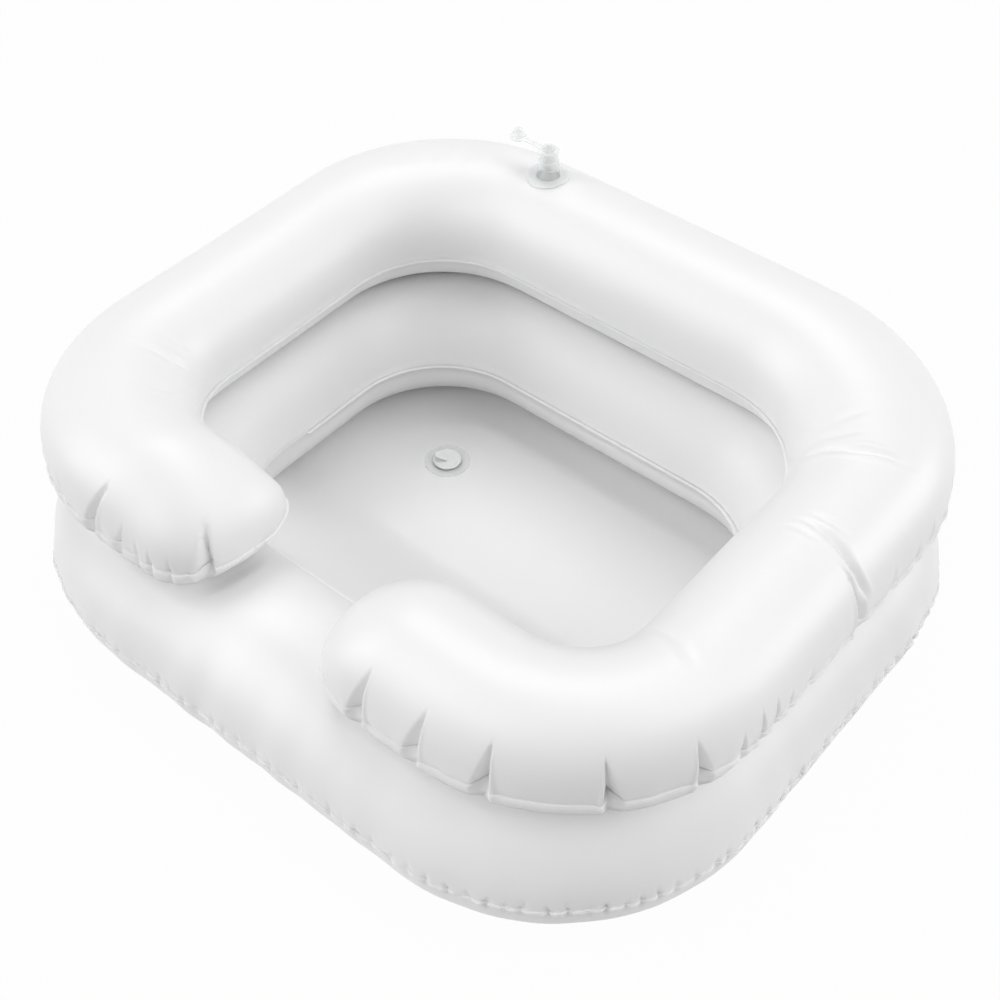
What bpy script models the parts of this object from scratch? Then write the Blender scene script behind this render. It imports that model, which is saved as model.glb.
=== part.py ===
"""Inflatable hair-washing basin.

A closed lower ring and an open upper ring are air tubes, each welded from two thin sheets along a
flat seam. A floor sheet closes the bowl, rises in front to the lower ring's shoulder and carries the
drain. Each ring has its own air valve: a push-in stem with a check flap and a stopper on a strap.

Metres, +Z up. The origin is on the ground under the middle of the rings. The neck gap faces -Y.
"""

import math
from dataclasses import dataclass

import bmesh
import bpy
from mathutils import Matrix, Vector

# Sheet and fits
SHEET = 0.0004
CLEARANCE = 0.0003
FLANGE = 0.005
TRIMMED_FLANGE = 0.0004
OVERRUN = 0.010

# Lower ring, over its tube
LOWER_LENGTH = 0.606
LOWER_WIDTH = 0.530
LOWER_CORNER = 0.167
LOWER_SIDE_TUBE = 0.123
LOWER_LONG_TUBE = 0.134
LOWER_INNER_CORNER = 0.085
LOWER_TUBE_HEIGHT = 0.124
GROUND_SAG = 0.0015

# Upper ring, over its tube, from the middle of the lower ring. It isn't quite symmetric: -X is left
UPPER_FRONT = 0.241
UPPER_LEFT = 0.298
UPPER_BACK = 0.262
UPPER_RIGHT = 0.293
UPPER_FRONT_LEFT_CORNER = 0.138
UPPER_BACK_LEFT_CORNER = 0.153
UPPER_BACK_RIGHT_CORNER = 0.161
UPPER_FRONT_RIGHT_CORNER = 0.157
UPPER_FRONT_TUBE = 0.104
UPPER_LEFT_TUBE = 0.100
UPPER_BACK_TUBE = 0.110
UPPER_RIGHT_TUBE = 0.099
UPPER_FRONT_LEFT_INNER_CORNER = 0.062
UPPER_BACK_LEFT_INNER_CORNER = 0.086
UPPER_BACK_RIGHT_INNER_CORNER = 0.090
UPPER_FRONT_RIGHT_INNER_CORNER = 0.046
UPPER_FRONT_HEIGHT = 0.099
UPPER_LEFT_HEIGHT = 0.097
UPPER_BACK_HEIGHT = 0.106
UPPER_RIGHT_HEIGHT = 0.096
UPPER_SEAM_DROP = math.radians(12)
TIER_PRESS = 0.0135
PRESS_RUN = 0.020
PUCKER_DEPTH = 0.0045

# The upper ring's arm ends, from the middle of the neck gap
LEFT_ARM_END = 0.058
LEFT_ARM_OUTER_RUN = 0.042
LEFT_ARM_OUTER_DEPTH = 0.058
LEFT_ARM_INNER_RUN = 0.021
LEFT_ARM_INNER_DEPTH = 0.038
LEFT_ARM_SWELL_RUN = 0.079
LEFT_ARM_SWELL_POWER = 1.6
RIGHT_ARM_END = 0.039
RIGHT_ARM_OUTER_RUN = 0.044
RIGHT_ARM_OUTER_DEPTH = 0.038
RIGHT_ARM_INNER_RUN = 0.053
RIGHT_ARM_INNER_DEPTH = 0.058
RIGHT_ARM_SWELL_RUN = 0.062
RIGHT_ARM_SWELL_POWER = 2.1

# Floor and its neck ramp
FLOOR_RISE = 0.008
RAMP_LENGTH = 0.130
RAMP_POWER = 1.35
RAMP_JOIN = math.radians(45)

# Drain
DRAIN_X = -0.106
DRAIN_Y = 0.066
DRAIN_FLANGE_RADIUS = 0.01875
DRAIN_FLANGE_THICKNESS = 0.0010
DRAIN_BORE_RADIUS = 0.0080
DRAIN_WALL = 0.0014
DRAIN_DEPTH = 0.0068
DRAIN_LIP = 0.0008
PLUG_HEAD_RADIUS = 0.0118
PLUG_HEAD_THICKNESS = 0.0016
PLUG_LENGTH = 0.0050
PLUG_TAPER = 0.0008
PLUG_DISH = 0.0007
TAB_LENGTH = 0.0110
TAB_WIDTH = 0.0060
TAB_THICKNESS = 0.0010
TAB_TILT = math.radians(24)
TAB_HEADING = math.radians(220)

# Air valves
VALVE_X = -0.116
LOWER_VALVE_ANGLE = math.radians(30)
VALVE_FLANGE_RADIUS = 0.0170
VALVE_FLANGE_THICKNESS = 0.0009
STEM_HEIGHT = 0.0230
STEM_ROOT = 0.0030
STEM_BASE_RADIUS = 0.0094
STEM_MOUTH_RADIUS = 0.0070
STEM_BORE_RADIUS = 0.0055
RIB_HEIGHT = 0.0007
RIB_WIDTH = 0.0012
FLAP_THICKNESS = 0.0008
FLAP_OVERLAP = 0.0018
STRAP_REACH = 0.0155
STRAP_WIDTH = 0.0050
STRAP_THICKNESS = 0.0009
COLLAR_WALL = 0.0014
STOPPER_HEAD_RADIUS = 0.0066
STOPPER_HEAD_THICKNESS = 0.0014
STOPPER_LENGTH = 0.0080
STOPPER_TIP_RADIUS = 0.0026

# Counts
CORNER_STEPS = 8
LOWER_CORNER_STEPS = 6
SIDE_STEPS = 4
LOWER_SIDE_STEPS = 3
BACK_STEPS = 5
LOWER_BACK_STEPS = 4
CROWN_FACETS = 8
WALL_FACETS = 3
ROUND_STEPS = 24
DISC_RINGS = 4
RIB_COUNT = 3
HALVINGS = 40

# Shares of the arm end's round, of the floor's run, of a flat's reach and of the valve, chosen by eye
ARM_END_SHARES = (0.0, 0.07, 0.24, 0.5, 0.78, 1.0)
FLOOR_RUN_SHARES = (0.12, 0.30, 0.50, 0.70, 0.86)
CONTACT_SHARE = 0.995
MOUTH_RIM_SHARE = 0.9
RIB_SPAN_SHARES = (0.30, 0.82)

WHITE_PVC = ((0.88, 0.88, 0.88), 0.34)
WHITE_FLOOR = ((0.84, 0.84, 0.84), 0.38)
CLEAR_PVC = ((0.62, 0.64, 0.64), 0.22)
WHITE_PLUG = ((0.80, 0.80, 0.80), 0.40)


@dataclass
class Tube:
    """One ring's plan and section.

    sides, widths and heights are of the front, left, back and right, in this order. The corners go
    from the front left to the front right. A section's angles run from the outer side over the top
    to the inner side.
    """

    sides: tuple
    corners: tuple
    widths: tuple
    inner_corners: tuple
    heights: tuple
    bottom_z: float
    seam_drop: float

    def back(self):
        """The straight back's middle as y and z, then half its width and half its height."""
        half_width = self.widths[2] / 2
        half_height = self.heights[2] / 2
        return self.sides[2] - half_width, self.bottom_z + half_height, half_width, half_height


@dataclass
class Arm:
    """An arm's end: its place, then the runs over which its two sides and its height draw in."""

    end: float
    outer_run: float
    outer_depth: float
    inner_run: float
    inner_depth: float
    swell_run: float
    swell_power: float

    def reach(self):
        return max(self.outer_run, self.inner_run, self.swell_run)


@dataclass
class Station:
    """The tube's cross-section at one place along the ring."""

    centre: Vector
    out: Vector
    half_width: float
    half_height: float
    centre_z: float
    seam_drop: float
    top_z: float
    bottom_z: float
    pinch: float = 0.0

    def at(self, angle, lift=0.0):
        """A point on the skin, or lift above it along the section's normal."""
        run = math.cos(angle)
        rise = math.sin(angle)
        normal = Vector((run / self.half_width, rise / max(self.half_height, SHEET))).normalized()
        run = self.half_width * run + lift * normal.x
        rise = self.half_height * rise + lift * normal.y
        flat = self.centre + self.out * run
        return Vector((flat.x, flat.y, self.centre_z + rise))

    def seam_z(self):
        return self.centre_z - self.half_height * math.sin(self.seam_drop)

    def flat_angle(self, plane_z):
        """The angle above or below the middle at which the section meets a flat plane."""
        share = abs(plane_z - self.centre_z) / max(self.half_height, SHEET)
        return math.asin(min(share, CONTACT_SHARE))


LOWER_TOP_Z = LOWER_TUBE_HEIGHT - GROUND_SAG
CONTACT_Z = LOWER_TOP_Z - TIER_PRESS / 2

LOWER = Tube(
    sides=(LOWER_WIDTH / 2, LOWER_LENGTH / 2) * 2,
    corners=(LOWER_CORNER,) * 4,
    widths=(LOWER_LONG_TUBE, LOWER_SIDE_TUBE) * 2,
    inner_corners=(LOWER_INNER_CORNER,) * 4,
    heights=(LOWER_TUBE_HEIGHT,) * 4,
    bottom_z=-GROUND_SAG,
    seam_drop=0.0,
)
UPPER = Tube(
    sides=(UPPER_FRONT, UPPER_LEFT, UPPER_BACK, UPPER_RIGHT),
    corners=(
        UPPER_FRONT_LEFT_CORNER,
        UPPER_BACK_LEFT_CORNER,
        UPPER_BACK_RIGHT_CORNER,
        UPPER_FRONT_RIGHT_CORNER,
    ),
    widths=(UPPER_FRONT_TUBE, UPPER_LEFT_TUBE, UPPER_BACK_TUBE, UPPER_RIGHT_TUBE),
    inner_corners=(
        UPPER_FRONT_LEFT_INNER_CORNER,
        UPPER_BACK_LEFT_INNER_CORNER,
        UPPER_BACK_RIGHT_INNER_CORNER,
        UPPER_FRONT_RIGHT_INNER_CORNER,
    ),
    heights=(UPPER_FRONT_HEIGHT, UPPER_LEFT_HEIGHT, UPPER_BACK_HEIGHT, UPPER_RIGHT_HEIGHT),
    bottom_z=LOWER_TOP_Z - TIER_PRESS,
    seam_drop=UPPER_SEAM_DROP,
)
LEFT_ARM = Arm(
    end=LEFT_ARM_END,
    outer_run=LEFT_ARM_OUTER_RUN,
    outer_depth=LEFT_ARM_OUTER_DEPTH,
    inner_run=LEFT_ARM_INNER_RUN,
    inner_depth=LEFT_ARM_INNER_DEPTH,
    swell_run=LEFT_ARM_SWELL_RUN,
    swell_power=LEFT_ARM_SWELL_POWER,
)
RIGHT_ARM = Arm(
    end=RIGHT_ARM_END,
    outer_run=RIGHT_ARM_OUTER_RUN,
    outer_depth=RIGHT_ARM_OUTER_DEPTH,
    inner_run=RIGHT_ARM_INNER_RUN,
    inner_depth=RIGHT_ARM_INNER_DEPTH,
    swell_run=RIGHT_ARM_SWELL_RUN,
    swell_power=RIGHT_ARM_SWELL_POWER,
)


def clear_scene():
    for obj in list(bpy.data.objects):
        bpy.data.objects.remove(obj)


def new_collection(name):
    made = bpy.data.collections.new(name)
    bpy.context.scene.collection.children.link(made)
    return made


def new_material(name, look):
    colour, roughness = look
    made = bpy.data.materials.new(name)
    made.use_nodes = True
    shader = made.node_tree.nodes["Principled BSDF"]
    shader.inputs["Base Color"].default_value = (*colour, 1.0)
    shader.inputs["Roughness"].default_value = roughness
    shader.inputs["Metallic"].default_value = 0.0
    return made


def add_object(name, data, look, collection):
    made = bpy.data.objects.new(name, data)
    collection.objects.link(made)
    made.data.materials.append(new_material(name, look))
    return made


def smooth(mesh):
    mesh.shade_smooth()
    mesh.set_sharp_from_angle(angle=math.radians(40))


# Plan of a ring


def plan_point(sides, corners, turn):
    """A point on a rounded rectangle, clockwise from above, from the middle of the front.

    turn runs from 0 to 9. Its odd whole numbers start the corners, its even ones the straights.
    """
    leg = min(int(turn), 8)
    share = turn - leg
    front, left, back, right = sides
    front_left, back_left, back_right, front_right = corners
    keys = (
        (0, -front),
        (front_left - left, -front),
        (-left, front_left - front),
        (-left, back - back_left),
        (back_left - left, back),
        (right - back_right, back),
        (right, back - back_right),
        (right, front_right - front),
        (right - front_right, -front),
        (0, -front),
    )
    if leg % 2 == 0:
        return Vector(keys[leg]).lerp(Vector(keys[leg + 1]), share)
    centre = Vector((keys[leg][0], keys[leg + 1][1]))
    if leg in (3, 7):
        centre = Vector((keys[leg + 1][0], keys[leg][1]))
    angle = math.pi / 4 * (7 - leg) - math.pi / 2 * share
    return centre + corners[leg // 2] * Vector((math.cos(angle), math.sin(angle)))


def edges_at(tube, turn):
    """The outer and the inner point of a ring's plan."""
    inner_sides = [side - width for side, width in zip(tube.sides, tube.widths)]
    outer = plan_point(tube.sides, tube.corners, turn)
    return outer, plan_point(inner_sides, tube.inner_corners, turn)


def height_at(tube, turn):
    """The tube's height: each side has its own, and it changes gently through the corners."""
    leg = min(int(turn), 8)
    heights = (*tube.heights, tube.heights[0])
    share = math.sin(math.pi / 2 * (turn - leg)) ** 2
    return heights[leg // 2] + share * (heights[(leg + 1) // 2] - heights[leg // 2])


def section(tube, outer, inner, height):
    across = outer - inner
    return Station(
        centre=(outer + inner) / 2,
        out=across.normalized(),
        half_width=across.length / 2,
        half_height=height / 2,
        centre_z=tube.bottom_z + height / 2,
        seam_drop=tube.seam_drop,
        top_z=tube.bottom_z + height,
        bottom_z=tube.bottom_z,
    )


def station(tube, turn):
    return section(tube, *edges_at(tube, turn), height_at(tube, turn))


def turn_at(tube, x):
    """The turn in the front, to the left or right, at which the tube's middle has this x."""
    near, far = (0.0, 2.0) if x < 0 else (9.0, 7.0)
    for _ in range(HALVINGS):
        middle = (near + far) / 2
        if abs(station(tube, middle).centre.x) < abs(x):
            near = middle
        else:
            far = middle
    return (near + far) / 2


def leg_turns(leg, steps):
    return [leg + step / steps for step in range(steps)]


def ease(share):
    share = min(max(share, 0.0), 1.0)
    return share * share * (3 - 2 * share)


def upper_stations():
    """Sections of the open ring from the left arm's end round to the right arm's end."""
    first = turn_at(UPPER, -LEFT_ARM.end - LEFT_ARM.reach())
    last = turn_at(UPPER, RIGHT_ARM.end + RIGHT_ARM.reach())
    made = arm_stations(LEFT_ARM, -1)
    for leg, steps in (
        (1, CORNER_STEPS),
        (2, SIDE_STEPS),
        (3, CORNER_STEPS),
        (4, BACK_STEPS),
        (5, CORNER_STEPS),
        (6, SIDE_STEPS),
        (7, CORNER_STEPS),
        (8, 1),
    ):
        for index, turn in enumerate(leg_turns(leg, steps)):
            if first < turn < last:
                made.append(station(UPPER, turn))
                made[-1].pinch = PUCKER_DEPTH if leg % 2 and index % 2 else 0.0
    made += reversed(arm_stations(RIGHT_ARM, 1))
    for each in made:
        each.bottom_z = CONTACT_Z + CLEARANCE / 2
    return made


def arm_stations(arm, side):
    """Sections of an arm's end, from the end inwards."""
    return [arm_end_station(arm, side, share * arm.reach()) for share in ARM_END_SHARES]


def rounded(past, run):
    """How much of a rounded end is still to come, from 1 at the end to 0 at its run."""
    return 1 - math.sqrt(1 - max(1 - past / run, 0) ** 2)


def arm_end_station(arm, side, past):
    """A section of an arm, past its end seam by this much: the tube narrows and closes to the seam."""
    x = side * (arm.end + past)
    turn = turn_at(UPPER, x)
    square = 1 - past / arm.reach()
    outer, inner = edges_at(UPPER, turn)
    outer.x += (x - outer.x) * square
    inner.x += (x - inner.x) * square
    outer.y += arm.outer_depth * rounded(past, arm.outer_run)
    inner.y -= arm.inner_depth * rounded(past, arm.inner_run)
    made = section(UPPER, outer, inner, height_at(UPPER, turn))
    seam_z = made.seam_z()
    made.half_height *= math.sqrt(1 - max(1 - past / arm.swell_run, 0) ** arm.swell_power)
    made.centre_z = seam_z + made.half_height * math.sin(UPPER_SEAM_DROP)
    return made


def lower_turns():
    """The lower ring's places along its plan, with some where the upper ring's arms start to press."""
    turns = [0.0, 8.0]
    for end in (-LEFT_ARM.end, RIGHT_ARM.end):
        turns += [turn_at(LOWER, end), turn_at(LOWER, end + math.copysign(PRESS_RUN, end))]
    for leg, steps in (
        (1, LOWER_CORNER_STEPS),
        (2, LOWER_SIDE_STEPS),
        (3, LOWER_CORNER_STEPS),
        (4, LOWER_BACK_STEPS),
        (5, LOWER_CORNER_STEPS),
        (6, LOWER_SIDE_STEPS),
        (7, LOWER_CORNER_STEPS),
    ):
        turns += leg_turns(leg, steps)
    return sorted(turns)


def press_share(point):
    """How far the upper ring presses on the lower one: not at all between the two arms' ends."""
    if point.y > 0:
        return 1.0
    end = RIGHT_ARM.end if point.x > 0 else LEFT_ARM.end
    return ease((abs(point.x) - end) / PRESS_RUN)


def lower_stations():
    """Sections of the closed ring, flat on the ground and where the upper ring presses on it."""
    made = []
    for turn in lower_turns():
        each = station(LOWER, turn)
        pressed_z = CONTACT_Z - CLEARANCE / 2
        each.top_z = LOWER_TOP_Z + press_share(each.centre) * (pressed_z - LOWER_TOP_Z)
        each.bottom_z = 0.0
        made.append(each)
    return made


# Sheets of a ring


def seam_edge(each, side, z, width):
    """The welded seam's flat edge at one side of a section: its outer end and its foot at the tube."""
    reach = each.half_width * math.cos(each.seam_drop)
    if side > 0:
        reach -= each.pinch
    foot = each.centre + each.out * side * reach
    end = foot + each.out * side * width
    return Vector((end.x, end.y, z)), Vector((foot.x, foot.y, z))


def drawn_in(each, point, angle):
    """Moves a skin point near the outer seam inwards where the seam puckers."""
    near = max(math.cos(angle + each.seam_drop), 0.0) ** 3
    return point - Vector((*(each.out * each.pinch * near), 0.0))


def crown_row(each, inner_flange):
    """A section of a ring's top sheet that nothing presses on: outer edge, over the top, inner edge."""
    z = each.seam_z() + CLEARANCE / 2 + SHEET
    drop = each.seam_drop
    end, foot = seam_edge(each, 1, z, FLANGE)
    row = [end, foot]
    for step in range(1, CROWN_FACETS):
        angle = -drop + (math.pi + 2 * drop) * step / CROWN_FACETS
        point = drawn_in(each, each.at(angle), angle)
        point.z = max(point.z, z)
        row.append(point)
    end, foot = seam_edge(each, -1, z, inner_flange)
    return row + [foot, end]


def wall_row(each, up, inner_flange):
    """A section of a sheet with a flat: outer edge, wall, flat, wall, inner edge. up is 1 or -1."""
    z = each.seam_z() + up * (CLEARANCE / 2 + SHEET)
    flat = each.flat_angle(each.top_z if up > 0 else each.bottom_z)
    start = -up * each.seam_drop
    end, foot = seam_edge(each, 1, z, FLANGE)
    row = [end, foot]
    for step in range(1, WALL_FACETS + 1):
        angle = up * (start + (flat - start) * step / WALL_FACETS)
        row.append(drawn_in(each, each.at(angle), angle))
    for step in range(WALL_FACETS, 0, -1):
        angle = up * (start + (flat - start) * step / WALL_FACETS)
        row.append(each.at(math.pi - angle))
    for point in row[2:]:
        point.z = max(point.z * up, z * up) * up
    end, foot = seam_edge(each, -1, z, inner_flange)
    return row + [foot, end]


def end_row(row, away):
    """The flange past an arm's end: the end's flat row, moved out by the flange's width."""
    return [point + Vector((away * FLANGE, 0, 0)) for point in row]


def loft(rows, closed, flip):
    """A mesh through rows of points, open along each row and open or closed from row to row."""
    count = len(rows)
    width = len(rows[0])
    faces = []
    for i in range(count if closed else count - 1):
        near = i * width
        far = (i + 1) % count * width
        for j in range(width - 1):
            face = (near + j, far + j, far + j + 1, near + j + 1)
            faces.append(face[::-1] if flip else face)
    mesh = bpy.data.meshes.new("loft")
    mesh.from_pydata([tuple(point) for row in rows for point in row], [], faces)
    return mesh


def loft_disc(rows, flip):
    """A mesh through closed rows of points, each ringed round by the next."""
    width = len(rows[0])
    return loft([[row[i] for row in rows] for i in range(width)], True, flip)


def add_sheet(name, mesh, look, collection, thickness):
    """A sheet of even thickness whose outer skin is the mesh."""
    made = add_object(name, mesh, look, collection)
    solid = made.modifiers.new("thickness", "SOLIDIFY")
    solid.thickness = thickness
    solid.offset = -1
    solid.use_even_offset = True
    smooth(made.data)
    return made


def build_upper_ring(parts):
    stations = upper_stations()
    rows = [crown_row(each, FLANGE) for each in stations]
    rows = [end_row(rows[0], 1), *rows, end_row(rows[-1], -1)]
    top = add_sheet("upper_ring_top_sheet", loft(rows, False, True), WHITE_PVC, parts, SHEET)
    rows = [wall_row(each, -1, FLANGE) for each in stations]
    rows = [end_row(rows[0], 1), *rows, end_row(rows[-1], -1)]
    add_sheet("upper_ring_bottom_sheet", loft(rows, False, False), WHITE_PVC, parts, SHEET)
    return top


def covered(each):
    """Whether the floor's ramp covers the inner seam here, so that its edge is trimmed."""
    return each.at(math.pi).y < ramp_join().y + RAMP_LENGTH


def build_lower_ring(parts):
    stations = lower_stations()
    edges = [TRIMMED_FLANGE if covered(each) else FLANGE for each in stations]
    rows = [wall_row(each, 1, edge) for each, edge in zip(stations, edges)]
    top = add_sheet("lower_ring_top_sheet", loft(rows, True, True), WHITE_PVC, parts, SHEET)
    rows = [wall_row(each, -1, edge) for each, edge in zip(stations, edges)]
    add_sheet("lower_ring_bottom_sheet", loft(rows, True, False), WHITE_PVC, parts, SHEET)
    return top


# Floor


def ramp_join():
    """Where the floor's ramp leaves the shoulder of the lower ring's front tube."""
    return station(LOWER, 0.0).at(math.pi - RAMP_JOIN)


def floor_height(y):
    """The floor's height: flat, then a ramp up to the front tube's shoulder."""
    join = ramp_join()
    share = min(max((y - join.y) / RAMP_LENGTH, 0.0), 1.0)
    return FLOOR_RISE + (join.z - FLOOR_RISE) * (1 - share) ** RAMP_POWER


def rim_angle(each):
    """The angle on a section of the lower ring at which the floor meets the tube's inner side."""
    low = math.pi * 1.5
    high = math.pi - RAMP_JOIN
    for _ in range(HALVINGS):
        middle = (low + high) / 2
        point = each.at(middle)
        if point.z < floor_height(point.y):
            low = middle
        else:
            high = middle
    return (low + high) / 2


def floor_rows():
    """Closed rows from the drain's hole out to the weld under, beside and over the lower ring's tube."""
    centre = Vector((DRAIN_X, DRAIN_Y))
    hole = DRAIN_BORE_RADIUS + DRAIN_WALL + CLEARANCE
    seat = DRAIN_FLANGE_RADIUS
    rims = []
    for each in lower_stations():
        lift = CLEARANCE + SHEET + (TRIMMED_FLANGE if covered(each) else 0)
        rims.append(each.at(rim_angle(each), lift))
    rows = []
    for radius in (hole, seat):
        rows.append([])
        for rim in rims:
            point = centre + (rim.xy - centre).normalized() * radius
            rows[-1].append(Vector((point.x, point.y, floor_height(point.y))))
    for share in FLOOR_RUN_SHARES:
        rows.append([])
        for start, rim in zip(rows[1], rims):
            point = start.xy.lerp(rim.xy, share)
            rows[-1].append(Vector((point.x, point.y, floor_height(point.y))))
    return [*rows, rims]


def build_floor(parts):
    return add_sheet("floor_sheet", loft_disc(floor_rows(), False), WHITE_FLOOR, parts, SHEET)


# Turned pieces


def add_turned(name, profile, look, collection):
    """A solid of revolution from a closed profile of (radius, z), outer side from top to bottom."""
    mesh = bpy.data.meshes.new(name)
    count = len(profile)
    closed = profile[0][0] > 0 and profile[-1][0] > 0
    edges = [(i, i + 1) for i in range(count - 1)] + ([(count - 1, 0)] if closed else [])
    mesh.from_pydata([(radius, 0, z) for radius, z in profile], edges, [])
    made = add_object(name, mesh, look, collection)
    turn = made.modifiers.new("turn", "SCREW")
    turn.angle = math.tau
    turn.steps = ROUND_STEPS
    turn.render_steps = ROUND_STEPS
    turn.use_merge_vertices = True
    turn.merge_threshold = CLEARANCE / 10
    turn.use_smooth_shade = True
    return made


def baked(obj):
    """The object's evaluated mesh as a plain mesh object in the same place and collection."""
    graph = bpy.context.evaluated_depsgraph_get()
    mesh = bpy.data.meshes.new_from_object(obj.evaluated_get(graph))
    shell = bmesh.new()
    shell.from_mesh(mesh)
    bmesh.ops.remove_doubles(shell, verts=shell.verts, dist=CLEARANCE / 10)
    shell.to_mesh(mesh)
    shell.free()
    obj.modifiers.clear()
    obj.data = mesh
    return obj


def as_cutter(obj):
    obj.hide_render = True
    obj.display_type = "WIRE"
    return obj


def add_boolean(obj, other, operation):
    step = obj.modifiers.new(operation.lower(), "BOOLEAN")
    step.operation = operation
    step.object = other
    step.solver = "EXACT"


def add_box(name, low, high, look, collection):
    mesh = bpy.data.meshes.new(name)
    shell = bmesh.new()
    bmesh.ops.create_cube(shell, size=1.0)
    size = Vector(high) - Vector(low)
    bmesh.ops.scale(shell, vec=size, verts=shell.verts)
    bmesh.ops.translate(shell, vec=(Vector(high) + Vector(low)) / 2, verts=shell.verts)
    shell.to_mesh(mesh)
    shell.free()
    return add_object(name, mesh, look, collection)


# Drain


def build_drain(parts):
    """A flange with a short outlet under the floor, and a lift-out plug with a tab on its head."""
    place = Matrix.Translation((DRAIN_X, DRAIN_Y, floor_height(DRAIN_Y)))
    bore = DRAIN_BORE_RADIUS
    outlet = bore + DRAIN_WALL
    seat = CLEARANCE + DRAIN_FLANGE_THICKNESS
    lip = seat + DRAIN_LIP
    flange = add_turned(
        "drain_flange",
        [
            (bore + DRAIN_WALL / 2, lip),
            (outlet, lip),
            (outlet + DRAIN_LIP, seat),
            (DRAIN_FLANGE_RADIUS, seat),
            (DRAIN_FLANGE_RADIUS, CLEARANCE),
            (outlet, CLEARANCE),
            (outlet, -DRAIN_DEPTH),
            (bore, -DRAIN_DEPTH),
            (bore, lip - DRAIN_WALL / 2),
        ],
        CLEAR_PVC,
        parts,
    )
    flange.matrix_world = place
    rest = lip + CLEARANCE
    shank = bore - CLEARANCE
    skirt = (PLUG_HEAD_RADIUS + outlet) / 2
    plug = add_turned(
        "drain_stopper",
        [
            (0, rest + PLUG_HEAD_THICKNESS - PLUG_DISH),
            (shank, rest + PLUG_HEAD_THICKNESS - PLUG_DISH),
            (skirt, rest + PLUG_HEAD_THICKNESS),
            (PLUG_HEAD_RADIUS, rest + PLUG_HEAD_THICKNESS / 2),
            (PLUG_HEAD_RADIUS, rest),
            (shank, rest),
            (shank, rest - PLUG_LENGTH / 2),
            (shank - PLUG_TAPER, rest - PLUG_LENGTH),
            (0, rest - PLUG_LENGTH),
        ],
        WHITE_PLUG,
        parts,
    )
    plug.matrix_world = place
    build_drain_tab(parts, place, rest + PLUG_HEAD_THICKNESS - PLUG_DISH)


def build_drain_tab(parts, place, head_z):
    """A finger tab that leans out over the plug's head: a flat outline with one round end."""
    outline = bpy.data.curves.new("drain_pull_tab", "CURVE")
    outline.dimensions = "2D"
    outline.fill_mode = "BOTH"
    outline.extrude = TAB_THICKNESS / 2
    radius = TAB_WIDTH / 2
    points = [(0, -radius), (TAB_LENGTH - radius, -radius)]
    for step in range(1, ROUND_STEPS // 2):
        angle = -math.pi / 2 + math.pi * step / (ROUND_STEPS // 2)
        points.append((TAB_LENGTH - radius + radius * math.cos(angle), radius * math.sin(angle)))
    points += [(TAB_LENGTH - radius, radius), (0, radius)]
    spline = outline.splines.new("POLY")
    spline.points.add(len(points) - 1)
    for made, (x, y) in zip(spline.points, points):
        made.co = (x, y, 0, 1)
    spline.use_cyclic_u = True
    tab = add_object("drain_pull_tab", outline, WHITE_PLUG, parts)
    lift = TAB_THICKNESS / 2 + CLEARANCE
    tab.matrix_world = (
        place
        @ Matrix.Rotation(TAB_HEADING, 4, "Z")
        @ Matrix.Translation((0, 0, head_z + lift))
        @ Matrix.Rotation(-TAB_TILT, 4, "Y")
    )


# Air valves


def valve_place(tube, angle, x, flip):
    """The frame of a valve on a back tube: Z along its stem, X along the tube, origin on the skin."""
    middle_y, middle_z, across, rise = tube.back()
    stem = Vector((0, math.cos(angle) / across, math.sin(angle) / rise)).normalized()
    along = Vector((-1 if flip else 1, 0, 0))
    side = stem.cross(along)
    frame = Matrix((along, side, stem)).transposed().to_4x4()
    frame.translation = (x, middle_y + across * math.cos(angle), middle_z + rise * math.sin(angle))
    return frame


def skin_height(tube, place, side):
    """How high the tube's round skin is along the stem's direction, at this distance to the side."""
    middle_y, middle_z, across, rise = tube.back()
    centre = Vector((place.translation.x, middle_y, middle_z))
    start = place @ Vector((0, side, 0)) - centre
    stem = place.to_3x3() @ Vector((0, 0, 1))
    a = (stem.y / across) ** 2 + (stem.z / rise) ** 2
    b = 2 * (start.y * stem.y / across**2 + start.z * stem.z / rise**2)
    c = (start.y / across) ** 2 + (start.z / rise) ** 2 - 1
    return (-b + math.sqrt(b * b - 4 * a * c)) / (2 * a)


def build_valve_flange(name, tube, place, parts):
    """A thin disc, welded on the tube and draped over its round skin, with the stem's hole."""
    inner = STEM_BASE_RADIUS + CLEARANCE
    rows = []
    for ring in range(DISC_RINGS + 1):
        radius = inner + (VALVE_FLANGE_RADIUS - inner) * ring / DISC_RINGS
        rows.append([])
        for step in range(ROUND_STEPS):
            angle = math.tau * step / ROUND_STEPS
            x = radius * math.cos(angle)
            y = radius * math.sin(angle)
            z = skin_height(tube, place, y) + CLEARANCE + VALVE_FLANGE_THICKNESS
            rows[-1].append(Vector((x, y, z)))
    flange = add_sheet(name, loft_disc(rows, True), CLEAR_PVC, parts, VALVE_FLANGE_THICKNESS)
    flange.matrix_world = place


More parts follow.
